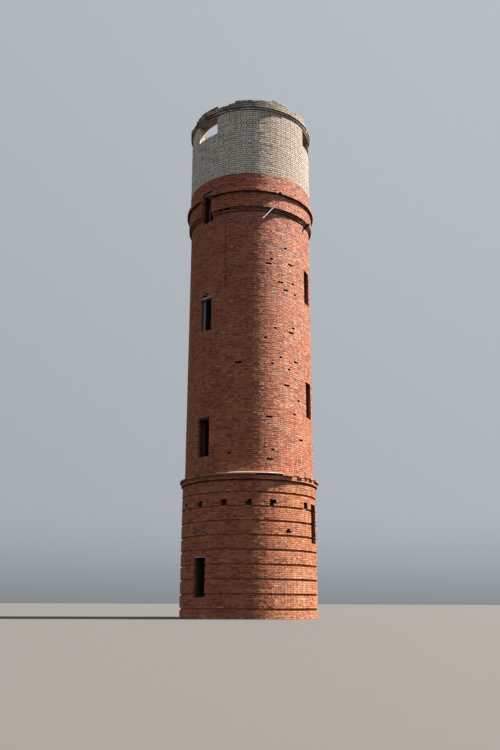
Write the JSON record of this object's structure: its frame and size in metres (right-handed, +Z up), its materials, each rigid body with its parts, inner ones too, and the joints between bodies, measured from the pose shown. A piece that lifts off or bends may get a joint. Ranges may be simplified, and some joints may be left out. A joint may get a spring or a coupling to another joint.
{
  "type": "water tower",
  "caption": "Disused round brick water tower: thick banded base, tall plain shaft with staggered windows, corbelled frieze, and a grey brick tank storey with wide openings and a ragged open top.",
  "frame": {"origin": "centre of the round base at ground level", "axes": "+Z up the tower's axis; -Y faces the viewer of the picture, so the left window column looks towards -X -Y and the doorway towards +Y"},
  "size_m": [5.66, 5.6621, 21.65],
  "materials": {
    "red_brick": "rough weathered brickwork",
    "grey_brick": "rough calcium silicate brickwork",
    "cement": "weathered cement",
    "concrete": "rough concrete",
    "timber": "bare weathered timber",
    "iron": "rusty",
    "pale_pipe": "weathered"
  },
  "bodies": {
    "root": {"base_wall_front": "red_brick", "base_wall_right": "red_brick", "base_wall_left": "red_brick", "base_left_window_apron": "red_brick", "base_left_window_head": "red_brick", "base_right_window_apron": "red_brick", "base_right_window_head": "red_brick", "doorway_head": "red_brick", "ground_floor": "concrete", "belt_front": "red_brick", "belt_right": "red_brick", "belt_left": "red_brick", "belt_cap_1": "cement", "belt_cap_2": "cement", "shaft_wall_front": "red_brick", "shaft_wall_right": "red_brick", "shaft_wall_left": "red_brick", "shaft_left_panel_1": "red_brick", "shaft_left_panel_2": "red_brick", "shaft_left_panel_3": "red_brick", "shaft_right_panel_1": "red_brick", "shaft_right_panel_2": "red_brick", "shaft_right_panel_3": "red_brick", "shaft_rear_panel_1": "red_brick", "shaft_rear_panel_2": "red_brick", "frieze_front": "red_brick", "frieze_right": "red_brick", "frieze_left": "red_brick", "frieze_window_head": "red_brick", "tank_floor": "concrete", "tank_wall_front": "grey_brick", "tank_wall_right": "grey_brick", "tank_wall_left": "grey_brick", "tank_opening_apron_1": "grey_brick", "tank_opening_apron_2": "grey_brick", "tank_opening_apron_3": "grey_brick", "tank_opening_lintel_1": "concrete", "tank_opening_lintel_2": "concrete", "tank_opening_lintel_3": "concrete", "parapet_left": "grey_brick", "parapet_right": "grey_brick", "parapet_rear": "grey_brick", "left_window_frame_1": "timber", "left_window_frame_2": "timber", "left_window_frame_3": "timber", "left_window_frame_4": "timber", "bent_pipe": "pale_pipe", "iron_bracket": "iron"}
  },
  "joints": []
}
